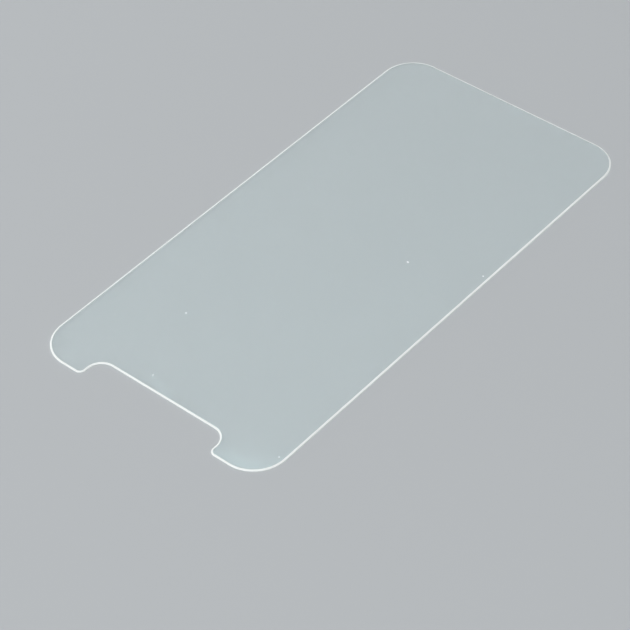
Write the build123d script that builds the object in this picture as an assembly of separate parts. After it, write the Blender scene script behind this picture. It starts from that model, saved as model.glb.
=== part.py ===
from build123d import *

import os

# Screen protector for a phone with a notched display: one flat sheet of clear toughened glass.
# The frame is the phone's: +X to the right and +Y to the top, where the notch is, +Z out of the screen.
# The origin is the middle of the underside, the face that lies on the phone. All sizes are millimetres.

# The sheet
WIDTH = 68.0
LENGTH = 136.7
THICKNESS = 0.33
CORNER_RADIUS = 8.8

# The notch in the top end, which clears the phone's earpiece and camera, and the ears beside it
EAR_WIDTH = 14.7
NOTCH_DEPTH = 6.3
NOTCH_MOUTH_RADIUS = 1.6
NOTCH_ROOT_RADIUS = 3.85

# The ground rim: an arc from the top face down to a narrow upright land, and a seamed lower edge
RIM_WIDTH = 0.42
EDGE_LAND = 0.16
SEAM_CHAMFER = 0.05

# Straight length left between two neighbouring rounds of the outline, and the grinder's overrun
LEAST_FLAT = 0.1
GRINDER_OVERRUN = 0.3

NODE = "glass_sheet"


def notch_radii(notch_width):
    """Radii of the notch's mouth and root, each no larger than the wall beside it leaves room for."""
    mouth = min(NOTCH_MOUTH_RADIUS, EAR_WIDTH - CORNER_RADIUS - LEAST_FLAT)
    root = min(NOTCH_ROOT_RADIUS, NOTCH_DEPTH - mouth - LEAST_FLAT, notch_width / 2 - LEAST_FLAT)
    return mouth, root


def plan():
    """Outline of the sheet: a rectangle with round corners, less the notch and its S-shaped sides."""
    top_end = LENGTH / 2
    notch_width = WIDTH - 2 * EAR_WIDTH
    mouth_radius, root_radius = notch_radii(notch_width)
    plate = RectangleRounded(WIDTH, LENGTH, CORNER_RADIUS)
    notch = Pos(0, top_end) * Rectangle(notch_width, 2 * NOTCH_DEPTH)
    sheet = plate - notch
    walls = sheet.vertices().filter_by(lambda v: abs(abs(v.X) - notch_width / 2) < LEAST_FLAT)
    sheet = fillet(walls.filter_by(lambda v: v.Y > top_end - LEAST_FLAT), mouth_radius)
    walls = sheet.vertices().filter_by(lambda v: abs(v.Y - (top_end - NOTCH_DEPTH)) < LEAST_FLAT)
    return fillet(walls, root_radius)


def rim_grinder(outline):
    """What the grinding wheel takes off: the space outside an arc that leaves the top face at a tangent."""
    drop = THICKNESS - EDGE_LAND - SEAM_CHAMFER
    arc_radius = (RIM_WIDTH**2 + drop**2) / (2 * drop)
    start = Plane(origin=(0, -LENGTH / 2, 0), x_dir=(0, -1, 0), z_dir=(-1, 0, 0))
    inner = (-RIM_WIDTH, THICKNESS)
    foot = (0, THICKNESS - drop)
    profile = RadiusArc(inner, foot, arc_radius)
    profile += Polyline(
        foot,
        (GRINDER_OVERRUN, THICKNESS - drop),
        (GRINDER_OVERRUN, THICKNESS + GRINDER_OVERRUN),
        (-RIM_WIDTH, THICKNESS + GRINDER_OVERRUN),
        inner,
    )
    return sweep(start * make_face(profile), path=outline)


def glass_sheet():
    """The finished sheet: cut to plan, seamed along its lower edge and ground round its rim."""
    blank_plan = plan()
    blank = extrude(blank_plan, THICKNESS)
    underside = blank.faces().sort_by(Axis.Z)[0]
    seamed = chamfer(underside.edges(), SEAM_CHAMFER)
    return seamed - rim_grinder(blank_plan.faces()[0].outer_wire())


os.makedirs("parts", exist_ok=True)
sheet = glass_sheet()
sheet.label = NODE
export_step(sheet, f"parts/{NODE}.step")
print(NODE, "volume", round(sheet.volume, 2), "mm3, valid", sheet.is_valid)
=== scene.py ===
"""Looks of a phone screen protector: one notched sheet of clear toughened glass with a ground rim."""

import math

import bpy
import numpy as np
from bpy.props import FloatProperty, FloatVectorProperty, PointerProperty
from bpy.types import Operator, Panel, PropertyGroup
from mathutils import Matrix, Vector


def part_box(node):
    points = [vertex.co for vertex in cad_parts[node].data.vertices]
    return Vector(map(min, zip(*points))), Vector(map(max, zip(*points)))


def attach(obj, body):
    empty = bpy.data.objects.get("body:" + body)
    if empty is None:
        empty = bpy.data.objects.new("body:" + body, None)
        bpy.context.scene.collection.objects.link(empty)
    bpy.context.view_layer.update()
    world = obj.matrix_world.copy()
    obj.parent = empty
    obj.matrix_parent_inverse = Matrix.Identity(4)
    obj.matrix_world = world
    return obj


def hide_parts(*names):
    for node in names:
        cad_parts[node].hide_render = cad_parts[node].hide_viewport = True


bl_info = {
    "name": "Phone screen protector",
    "version": (1, 0, 0),
    "blender": (4, 5, 0),
    "location": "View3D > Sidebar > Screen protector",
    "description": "Builds the notched glass sheet in its CAD frame and lights it in a plain studio",
    "category": "Add Mesh",
}

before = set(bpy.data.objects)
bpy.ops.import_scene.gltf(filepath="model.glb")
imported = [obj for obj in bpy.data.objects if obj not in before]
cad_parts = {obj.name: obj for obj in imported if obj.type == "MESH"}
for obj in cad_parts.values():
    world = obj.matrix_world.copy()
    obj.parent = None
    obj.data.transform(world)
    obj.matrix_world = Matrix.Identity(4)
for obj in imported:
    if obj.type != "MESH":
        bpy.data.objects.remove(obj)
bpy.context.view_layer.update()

NODE = "glass_sheet"
BODY = "root"
MM = 0.001

SHEET_LOW, SHEET_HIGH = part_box(NODE)
SHEET_SIZE = SHEET_HIGH - SHEET_LOW

# How finely the sheet is drawn: steps in a quarter turn of the outline and in the rim's arc, the longest
# straight step, and the width of the flat border that keeps the rim's shading off the faces. Edges that
# turn by more than the sharp angle are shaded as edges.
TURN_STEPS = 32
RIM_STEPS = 12
LONGEST_STEP = 1.5 * MM
FLAT_BORDER = 0.6 * MM
SHARP_ANGLE = math.radians(30.0)

# The floor lies this far under the sheet, so that the two faces don't share a plane.
FLOOR_GAP = 0.02 * MM
FLOOR_HALF_WIDTH = 3.0
FLOOR_STEPS = 48

# Matt paint on the floor board: its roughness, and its shine, where 0.5 is that of plain plastic
FLOOR_ROUGHNESS = 0.85
FLOOR_SHINE = 0.2

# The camera's sensor in millimetres, and the nearest thing it sees in metres
SENSOR_WIDTH = 36.0
NEAREST_SEEN = 0.01


def linear(hex_colour):
    """Turn an sRGB hex colour into linear red, green and blue."""
    srgb = np.array([int(hex_colour[i : i + 2], 16) for i in (1, 3, 5)]) / 255.0
    low, high = srgb / 12.92, ((srgb + 0.055) / 1.055) ** 2.4
    return tuple(float(x) for x in np.where(srgb <= 0.04045, low, high))


def opaque(colour):
    """The colour as a node socket takes it, with an alpha of 1."""
    return (*colour, 1.0)


class GlassSheetSettings(PropertyGroup):
    """Sizes of the sheet's outline and of its rim"""

    width: FloatProperty(
        name="Width", description="Across the phone", default=SHEET_SIZE.x, unit="LENGTH"
    )
    length: FloatProperty(
        name="Length", description="Along the phone", default=SHEET_SIZE.y, unit="LENGTH"
    )
    thickness: FloatProperty(
        name="Thickness", description="Of the glass", default=SHEET_SIZE.z, unit="LENGTH"
    )
    corner_radius: FloatProperty(
        name="Corner radius",
        description="Of the sheet's four corners",
        default=8.8 * MM,
        unit="LENGTH",
    )
    ear_width: FloatProperty(
        name="Ear width",
        description="From the sheet's side to the notch",
        default=14.7 * MM,
        unit="LENGTH",
    )
    notch_depth: FloatProperty(
        name="Notch depth",
        description="From the top end to the notch's floor",
        default=6.3 * MM,
        unit="LENGTH",
    )
    mouth_radius: FloatProperty(
        name="Mouth radius",
        description="Where an ear turns into the notch",
        default=1.6 * MM,
        unit="LENGTH",
    )
    root_radius: FloatProperty(
        name="Root radius",
        description="Where the notch's wall meets its floor",
        default=3.85 * MM,
        unit="LENGTH",
    )
    rim_width: FloatProperty(
        name="Rim width",
        description="Of the arc ground round the top face",
        default=0.42 * MM,
        unit="LENGTH",
    )
    edge_land: FloatProperty(
        name="Edge land",
        description="Height of the upright strip below the arc",
        default=0.16 * MM,
        unit="LENGTH",
    )
    seam_chamfer: FloatProperty(
        name="Seam", description="Chamfer along the lower edge", default=0.05 * MM, unit="LENGTH"
    )


class GlassFinishSettings(PropertyGroup):
    """Colours of the polished glass and of its ground rim"""

    tint: FloatVectorProperty(
        name="Tint",
        description="What the sheet lets through",
        subtype="COLOR",
        size=3,
        default=linear("#F8FDFD"),
    )
    sheen: FloatVectorProperty(
        name="Sheen",
        description="Tint of its reflections",
        subtype="COLOR",
        size=3,
        default=linear("#B4F2F6"),
    )
    ground: FloatVectorProperty(
        name="Ground rim",
        description="White of the ground rim",
        subtype="COLOR",
        size=3,
        default=linear("#F4F8F7"),
    )


class StudioSettings(PropertyGroup):
    """Floor, light and camera"""

    floor: FloatVectorProperty(
        name="Floor",
        description="Colour of the floor",
        subtype="COLOR",
        size=3,
        default=linear("#B8BCBF"),
    )
    wall_light: FloatProperty(
        name="Wall light", description="Light from the walls", default=0.40, min=0.0
    )
    slope_light: FloatProperty(
        name="Slope light", description="Light from the dome's foot", default=0.60, min=0.0
    )
    roof_light: FloatProperty(
        name="Roof light", description="Light along the roof's border", default=2.10, min=0.0
    )
    top_light: FloatProperty(
        name="Top light", description="Light from straight overhead", default=1.30, min=0.0
    )
    strip_power: FloatProperty(
        name="Strip power", description="Of each strip lamp", default=0.056, unit="POWER", min=0.0
    )
    strip_size: FloatVectorProperty(
        name="Strip size",
        description="Length and height of each",
        size=2,
        default=(0.40, 0.06),
        unit="LENGTH",
    )
    strip_spread: FloatProperty(
        name="Strip spread",
        description="Beam that its grid lets out",
        subtype="ANGLE",
        default=math.radians(30.0),
    )
    front_strip_place: FloatVectorProperty(
        name="Front strip place",
        description="Middle of the strip lamp before the notch end",
        subtype="TRANSLATION",
        default=(0.30, 0.30, 0.06),
    )
    side_strip_place: FloatVectorProperty(
        name="Side strip place",
        description="Middle of the strip lamp beside the sheet",
        subtype="TRANSLATION",
        default=(-0.32, 0.24, 0.06),
    )
    far_strip_place: FloatVectorProperty(
        name="Far strip place",
        description="Middle of the strip lamp along the far side",
        subtype="TRANSLATION",
        default=(0.42, -0.06, 0.06),
    )
    camera_place: FloatVectorProperty(
        name="Camera place",
        description="Where the camera stands",
        subtype="TRANSLATION",
        default=(-280.24 * MM, 323.97 * MM, 388.95 * MM),
    )
    camera_target: FloatVectorProperty(
        name="Camera target",
        description="Where its middle points on the floor",
        subtype="TRANSLATION",
        default=(-9.69 * MM, 20.76 * MM, 0.0),
    )
    camera_roll: FloatProperty(
        name="Camera roll",
        description="Turn about its own line",
        subtype="ANGLE",
        default=math.radians(-2.471),
    )
    lens: FloatProperty(
        name="Lens", description="Focal length on a 36 mm sensor", default=139.84, unit="CAMERA"
    )


def add_node(tree, kind, settings=None, inputs=None):
    """Add a node of this kind with its own settings, and give its sockets values or links."""
    node = tree.nodes.new(kind)
    for name, value in (settings or {}).items():
        setattr(node, name, value)
    for name, value in (inputs or {}).items():
        if isinstance(value, bpy.types.NodeSocket):
            tree.links.new(value, node.inputs[name])
        else:
            node.inputs[name].default_value = value
    return node


def empty_material(name):
    """A new material with an empty node tree."""
    material = bpy.data.materials.new(name)
    material.use_nodes = True
    material.node_tree.nodes.clear()
    return material


# Index of soda-lime glass, which toughening doesn't change
GLASS_IOR = 1.51

# Marks of handling on the top face: middle and half sizes in millimetres, turn in degrees, and the
# roughness that the film of grease or the grain of dust adds at the middle. They scatter light, and from
# above they look paler than the polish.
FACE_MARKS = (
    ((2.2, 60.0), (7.2, 2.2), -13.0, 0.16),
    ((-15.5, -6.2), (0.75, 0.50), 0.0, 0.40),
    ((-32.3, -13.2), (0.55, 0.50), 0.0, 0.40),
    ((13.9, 38.9), (0.60, 0.42), 40.0, 0.40),
    ((6.2, 58.4), (0.42, 0.75), 20.0, 0.32),
    ((-32.4, 59.9), (0.50, 0.45), 0.0, 0.40),
)

# They end this deep in the glass, in millimetres, so that the underside stays clean.
MARK_DEPTH = 0.2

# Wiping leaves the polish dull in broad smears: their width in millimetres, the shape of the noise that
# draws them, the part of its range that is used, and the roughness from the cleanest place to the dullest.
SMEAR_WIDTH = 22.0
SMEAR_SHAPE = {"Detail": 3.0, "Roughness": 0.55, "Distortion": 0.6}
SMEAR_RANGE = (0.35, 0.75)
POLISH_ROUGHNESS = (0.02, 0.06)

# The grinding wheel's grit: width and depth of its scratches in millimetres, several times coarser than
# real ones so that they show, detail and strength of the noise that draws them, the part of its range
# that is used, and the roughness from the smoothest place to the coarsest.
GRIT_WIDTH = 0.12
GRIT_DEPTH = 0.01
GRIT_DETAIL = 2.0
GRIT_STRENGTH = 0.4
GRIT_RANGE = (0.3, 0.7)
GROUND_ROUGHNESS = (0.26, 0.42)

# How clear the ground rim is to the eye, and how much of the lamps' light one of its faces lets through
GROUND_CLEARNESS = 0.12
RIM_PASSES = 0.8


def face_marks(tree, where, top, marks):
    """Marks on the top face added up. Each is a soft oval spot, strength times 1 - r, where r is the
    distance from its middle in half sizes, and nothing past its border."""
    total = 0.0
    for place, size, turn, strength in marks:
        spot = add_node(
            tree,
            "ShaderNodeMapping",
            {"vector_type": "TEXTURE"},
            {
                "Vector": where,
                "Location": (place[0] * MM, place[1] * MM, top),
                "Rotation": (0.0, 0.0, math.radians(turn)),
                "Scale": (size[0] * MM, size[1] * MM, MARK_DEPTH * MM),
            },
        )
        ball = add_node(
            tree,
            "ShaderNodeTexGradient",
            {"gradient_type": "SPHERICAL"},
            {"Vector": spot.outputs["Vector"]},
        )
        added = add_node(
            tree,
            "ShaderNodeMath",
            {"operation": "MULTIPLY_ADD"},
            {0: ball.outputs["Fac"], 1: strength, 2: total},
        )
        total = added.outputs["Value"]
    return total


def lamps_pass(tree, glass, passes):
    """Give a glass its output, with a plain filter for the lamps, so that the sheet throws no dark shadow.
    One face lets through these shares of red, green and blue, and the light crosses two."""
    through = add_node(tree, "ShaderNodeBsdfTransparent", inputs={"Color": opaque(passes)})
    path = add_node(tree, "ShaderNodeLightPath")
    shader = add_node(
        tree,
        "ShaderNodeMixShader",
        inputs={
            0: path.outputs["Is Shadow Ray"],
            1: glass.outputs["BSDF"],
            2: through.outputs["BSDF"],
        },
    )
    add_node(tree, "ShaderNodeOutputMaterial", inputs={"Surface": shader.outputs["Shader"]})


def toughened_glass(finish):
    """Clear toughened glass, fire-polished: nearly invisible, with a faint blue-green cast and a sharp
    mirror that handling has dulled a little in broad smears, a smudge and a few grains of dust."""
    material = empty_material("clear_toughened_glass_polished")
    tree = material.node_tree
    where = add_node(tree, "ShaderNodeTexCoord").outputs["Object"]
    smears = add_node(
        tree,
        "ShaderNodeTexNoise",
        inputs={"Vector": where, "Scale": 1.0 / (SMEAR_WIDTH * MM), **SMEAR_SHAPE},
    )
    polish = add_node(
        tree,
        "ShaderNodeMapRange",
        inputs={
            "Value": smears.outputs["Fac"],
            "From Min": SMEAR_RANGE[0],
            "From Max": SMEAR_RANGE[1],
            "To Min": POLISH_ROUGHNESS[0],
            "To Max": POLISH_ROUGHNESS[1],
        },
    )
    marks = face_marks(tree, where, SHEET_HIGH.z, FACE_MARKS)
    rough = add_node(
        tree, "ShaderNodeMath", {"operation": "ADD"}, {0: polish.outputs["Result"], 1: marks}
    )
    glass = add_node(
        tree,
        "ShaderNodeBsdfPrincipled",
        inputs={
            "Base Color": opaque(finish.tint),
            "Roughness": rough.outputs["Value"],
            "IOR": GLASS_IOR,
            "Transmission Weight": 1.0,
            "Specular Tint": opaque(finish.sheen),
        },
    )
    lamps_pass(tree, glass, [math.sqrt(c) for c in finish.tint])
    return material


def ground_glass(finish):
    """The same glass, ground with a fine wheel: a satin white line that scatters light."""
    material = empty_material("toughened_glass_ground_rim")
    tree = material.node_tree
    where = add_node(tree, "ShaderNodeTexCoord").outputs["Object"]
    grit = add_node(
        tree,
        "ShaderNodeTexNoise",
        inputs={"Vector": where, "Scale": 1.0 / (GRIT_WIDTH * MM), "Detail": GRIT_DETAIL},
    )
    rough = add_node(
        tree,
        "ShaderNodeMapRange",
        inputs={
            "Value": grit.outputs["Fac"],
            "From Min": GRIT_RANGE[0],
            "From Max": GRIT_RANGE[1],
            "To Min": GROUND_ROUGHNESS[0],
            "To Max": GROUND_ROUGHNESS[1],
        },
    )
    scratches = add_node(
        tree,
        "ShaderNodeBump",
        inputs={
            "Height": grit.outputs["Fac"],
            "Strength": GRIT_STRENGTH,
            "Distance": GRIT_DEPTH * MM,
        },
    )
    glass = add_node(
        tree,
        "ShaderNodeBsdfPrincipled",
        inputs={
            "Base Color": opaque(finish.ground),
            "Roughness": rough.outputs["Result"],
            "IOR": GLASS_IOR,
            "Transmission Weight": GROUND_CLEARNESS,
            "Normal": scratches.outputs["Normal"],
        },
    )
    lamps_pass(tree, glass, [RIM_PASSES] * 3)
    return material


def notched_outline(sheet):
    """Closed outline of the sheet, anticlockwise, as points and outward directions.

    It is straight runs joined by quarter turns. At a sharp corner c, with run d0 coming in and run d1
    going out, a turn of radius r has its middle at c + r (d1 - d0), its points at
    middle + r (d0 sin a - d1 cos a) and its heading d0 cos a + d1 sin a, for a from nothing to a right
    angle. The outward side is right of the heading.
    """
    side, end = sheet.width / 2, sheet.length / 2
    wall, floor = side - sheet.ear_width, end - sheet.notch_depth
    right_half = np.array([(side, -end), (side, end), (wall, end), (wall, floor)])
    radii = np.array([sheet.corner_radius, sheet.corner_radius, sheet.mouth_radius, sheet.root_radius])
    corners = np.concatenate([right_half, right_half[::-1] * (-1, 1)])
    radii = np.concatenate([radii, radii[::-1]])[:, None]
    going_out = np.roll(corners, -1, axis=0) - corners
    going_out /= np.linalg.norm(going_out, axis=1, keepdims=True)
    coming_in = np.roll(going_out, 1, axis=0)
    angle = np.linspace(0.0, math.pi / 2, TURN_STEPS + 1)[None, :, None]
    d0, d1 = coming_in[:, None], going_out[:, None]
    turns = (corners + radii * (going_out - coming_in))[:, None]
    turns = turns + radii[:, None] * (d0 * np.sin(angle) - d1 * np.cos(angle))
    headings = d0 * np.cos(angle) + d1 * np.sin(angle)
    points, heading = [], []
    for k, following in enumerate(np.roll(turns, -1, axis=0)):
        start, stop = turns[k, -1], following[0]
        count = max(1, math.ceil(np.linalg.norm(stop - start) / LONGEST_STEP))
        share = np.arange(1, count)[:, None] / count
        run = start + share * (stop - start)
        points += [turns[k], run]
        heading += [headings[k], np.broadcast_to(going_out[k], run.shape)]
    heading = np.concatenate(heading)
    outward = np.stack([heading[:, 1], -heading[:, 0]], axis=1)
    return np.concatenate(points), outward


def rim_profile(sheet):
    """Section of the rim, from the top face to the underside, as insets from the outline and heights.

    An arc of radius R = (w^2 + d^2) / 2d leaves the top face at a tangent and drops by d over the rim's
    width w: inset = w - R sin a, height = thickness - R (1 - cos a). The upright land and the seam
    chamfer follow.
    """
    width = sheet.rim_width
    drop = sheet.thickness - sheet.edge_land - sheet.seam_chamfer
    radius = (width**2 + drop**2) / (2 * drop)
    angle = np.linspace(0.0, math.asin(width / radius), RIM_STEPS + 1)
    inner = width + FLAT_BORDER
    inset = np.concatenate([[inner], width - radius * np.sin(angle), [0.0, sheet.seam_chamfer, inner]])
    fall = sheet.thickness - radius * (1.0 - np.cos(angle))
    height = np.concatenate([[sheet.thickness], fall, [sheet.seam_chamfer, 0.0, 0.0]])
    return inset, height


def carried_sheet(name, sheet, materials):
    """The closed sheet: the rim's profile carried along the outline, with a flat face across each side.

    A point of the grid is outline(i) - inset(j) outward(i), at height(j). The face across the top joins
    the first ring, and the one across the bottom joins the last, turned over.
    """
    outline, outward = notched_outline(sheet)
    inset, height = rim_profile(sheet)
    around, across = len(outline), len(inset)
    plan = outline[:, None] - inset[None, :, None] * outward[:, None]
    level = np.broadcast_to(SHEET_LOW.z + height, (around, across))
    points = np.concatenate([plan, level[..., None]], axis=2).reshape(-1, 3)
    index = np.arange(around * across).reshape(around, across)
    after = np.roll(index, -1, axis=0)
    quads = np.stack([index[:, :-1], index[:, 1:], after[:, 1:], after[:, :-1]], axis=2).reshape(-1, 4)
    caps = [index[:, 0].tolist(), index[::-1, -1].tolist()]
    mesh = bpy.data.meshes.new(name)
    mesh.from_pydata(points, [], quads.tolist() + caps)
    for material in materials:
        mesh.materials.append(material)
    strips = np.ones((around, across - 1), int)
    strips[:, 0] = strips[:, -1] = 0
    mesh.polygons.foreach_set("material_index", np.concatenate([strips.ravel(), [0, 0]]))
    mesh.shade_smooth()
    mesh.set_sharp_from_angle(angle=SHARP_ANGLE)
    if mesh.validate():
        raise RuntimeError(f"{name}: the carried mesh had faults")
    mesh.update()
    piece = bpy.data.objects.new(name, mesh)
    bpy.context.scene.collection.objects.link(piece)
    return piece


class SCREENPROTECTOR_OT_glass_sheet(Operator):
    """Build the notched sheet of glass with its ground rim, in place of the plain CAD sheet"""

    bl_idname = "screenprotector.glass_sheet"
    bl_label = "Glass sheet"

    def execute(self, context):
        finish = context.scene.screenprotector_finish
        materials = (toughened_glass(finish), ground_glass(finish))
        piece = carried_sheet("protector_glass", context.scene.screenprotector_sheet, materials)
        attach(piece, BODY)
        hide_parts(NODE)
        return {"FINISHED"}


def floor_sheet(studio):
    """A flat floor of matt painted board, even and dull: a grid of points x = u, y = v at one height under
    the sheet."""
    run = np.linspace(-FLOOR_HALF_WIDTH, FLOOR_HALF_WIDTH, FLOOR_STEPS + 1)
    x, y = np.meshgrid(run, run, indexing="ij")
    points = np.stack([x, y, np.full_like(x, SHEET_LOW.z - FLOOR_GAP)], axis=2).reshape(-1, 3)
    index = np.arange(len(points)).reshape(x.shape)
    corners = (index[:-1, :-1], index[1:, :-1], index[1:, 1:], index[:-1, 1:])
    quads = np.stack(corners, axis=2).reshape(-1, 4)
    mesh = bpy.data.meshes.new("studio_floor")
    mesh.from_pydata(points, [], quads.tolist())
    material = empty_material("matt_painted_board")
    tree = material.node_tree
    board = add_node(
        tree,
        "ShaderNodeBsdfPrincipled",
        inputs={
            "Base Color": opaque(studio.floor),
            "Roughness": FLOOR_ROUGHNESS,
            "Specular IOR Level": FLOOR_SHINE,
        },
    )
    add_node(tree, "ShaderNodeOutputMaterial", inputs={"Surface": board.outputs["BSDF"]})
    mesh.materials.append(material)
    floor = bpy.data.objects.new("studio_floor", mesh)
    bpy.context.scene.collection.objects.link(floor)


# The dome brightens towards this line: slowly up its foot, then quickly at the border of its roof, and it
# dims a little to the top. The pairs are cosines of the angle from the line. One ear's near edge mirrors
# the roof's border.
DOME_LINE = Vector((0.1605, 0.1432, 0.9766))
DOME_FOOT = (0.56, 0.72)
ROOF_BORDER = (0.7185, 0.7236)
ROOF_TOP = (0.74, 0.96)


def studio_dome(studio):
    """An even dome of soft light: bright overhead, fading to the level of the walls."""
    world = bpy.data.worlds.new("studio_dome")
    world.use_nodes = True
    tree = world.node_tree
    tree.nodes.clear()
    way = add_node(tree, "ShaderNodeTexCoord")
    rise = add_node(
        tree,
        "ShaderNodeVectorMath",
        {"operation": "DOT_PRODUCT"},
        {0: way.outputs["Generated"], 1: DOME_LINE.normalized()},
    )
    steps = [
        add_node(
            tree,
            "ShaderNodeMapRange",
            {"interpolation_type": "SMOOTHSTEP"},
            {
                "Value": rise.outputs["Value"],
                "From Min": low,
                "From Max": high,
                "To Min": start,
                "To Max": end,
            },
        )
        for (low, high), start, end in (
            (DOME_FOOT, studio.wall_light, studio.slope_light),
            (ROOF_BORDER, 0.0, studio.roof_light - studio.slope_light),
            (ROOF_TOP, 0.0, studio.top_light - studio.roof_light),
        )
    ]
    level = 0.0
    for step in steps:
        level = add_node(
            tree, "ShaderNodeMath", {"operation": "ADD"}, {0: step.outputs["Result"], 1: level}
        ).outputs["Value"]
    light = add_node(tree, "ShaderNodeBackground", inputs={"Strength": level})
    add_node(tree, "ShaderNodeOutputWorld", inputs={"Surface": light.outputs["Background"]})
    bpy.context.scene.world = world


def aimed(obj, place, target, roll=0.0):
    """Stand a lamp or camera at place, looking at target, and turn it about its own line."""
    line = Vector(target) - Vector(place)
    turned = line.to_track_quat("-Z", "Y").to_matrix().to_4x4() @ Matrix.Rotation(roll, 4, "Z")
    obj.matrix_world = Matrix.Translation(place) @ turned
    bpy.context.scene.collection.objects.link(obj)


def strip_lamps(studio):
    """Three low strip lamps that light the rim more than the floor: two at the notch end, one to each
    side, and one along the far side. A grid keeps each one's light off the floor before it, and the
    polished faces mirror them only from very low down."""
    for name, place in (
        ("front_strip", studio.front_strip_place),
        ("side_strip", studio.side_strip_place),
        ("far_strip", studio.far_strip_place),
    ):
        lamp = bpy.data.lights.new(name, "AREA")
        lamp.energy = studio.strip_power
        lamp.shape = "RECTANGLE"
        lamp.size, lamp.size_y = studio.strip_size
        lamp.spread = studio.strip_spread
        holder = bpy.data.objects.new(name, lamp)
        holder.visible_glossy = False
        aimed(holder, place, (0.0, 0.0, 0.0))


def view_camera(studio):
    """The camera, at the viewing angle of the picture."""
    camera = bpy.data.cameras.new("view_camera")
    camera.sensor_width = SENSOR_WIDTH
    camera.lens = studio.lens
    camera.clip_start = NEAREST_SEEN
    holder = bpy.data.objects.new("view_camera", camera)
    aimed(holder, studio.camera_place, studio.camera_target, studio.camera_roll)
    bpy.context.scene.camera = holder


class SCREENPROTECTOR_OT_studio(Operator):
    """Lay the pale floor, light it softly and stand the camera at the picture's angle"""

    bl_idname = "screenprotector.studio"
    bl_label = "Studio"

    def execute(self, context):
        studio = context.scene.screenprotector_studio
        floor_sheet(studio)
        studio_dome(studio)
        strip_lamps(studio)
        view_camera(studio)
        context.scene.view_settings.view_transform = "Standard"
        return {"FINISHED"}


class SCREENPROTECTOR_PT_sidebar(Panel):
    """Lists the protector's pieces and their settings"""

    bl_idname = "SCREENPROTECTOR_PT_sidebar"
    bl_label = "Screen protector"
    bl_space_type = "VIEW_3D"
    bl_region_type = "UI"
    bl_category = "Screen protector"

    def draw(self, context):
        for operator, groups in (
            (SCREENPROTECTOR_OT_glass_sheet, ("screenprotector_sheet", "screenprotector_finish")),
            (SCREENPROTECTOR_OT_studio, ("screenprotector_studio",)),
        ):
            box = self.layout.box()
            for group in groups:
                settings = getattr(context.scene, group)
                for name in settings.__annotations__:
                    box.prop(settings, name)
            box.operator(operator.bl_idname)


SETTINGS = {
    "screenprotector_sheet": GlassSheetSettings,
    "screenprotector_finish": GlassFinishSettings,
    "screenprotector_studio": StudioSettings,
}
CLASSES = (
    *SETTINGS.values(),
    SCREENPROTECTOR_OT_glass_sheet,
    SCREENPROTECTOR_OT_studio,
    SCREENPROTECTOR_PT_sidebar,
)


def register():
    """Register the classes and hang the settings on the scene."""
    for cls in CLASSES:
        bpy.utils.register_class(cls)
    for name, cls in SETTINGS.items():
        setattr(bpy.types.Scene, name, PointerProperty(type=cls))


def unregister():
    """Take the settings off the scene and unregister the classes."""
    for name in SETTINGS:
        delattr(bpy.types.Scene, name)
    for cls in reversed(CLASSES):
        bpy.utils.unregister_class(cls)


def main():
    """Build the protector and its studio."""
    register()
    bpy.ops.screenprotector.glass_sheet()
    bpy.ops.screenprotector.studio()


if __name__ == "__main__":
    main()
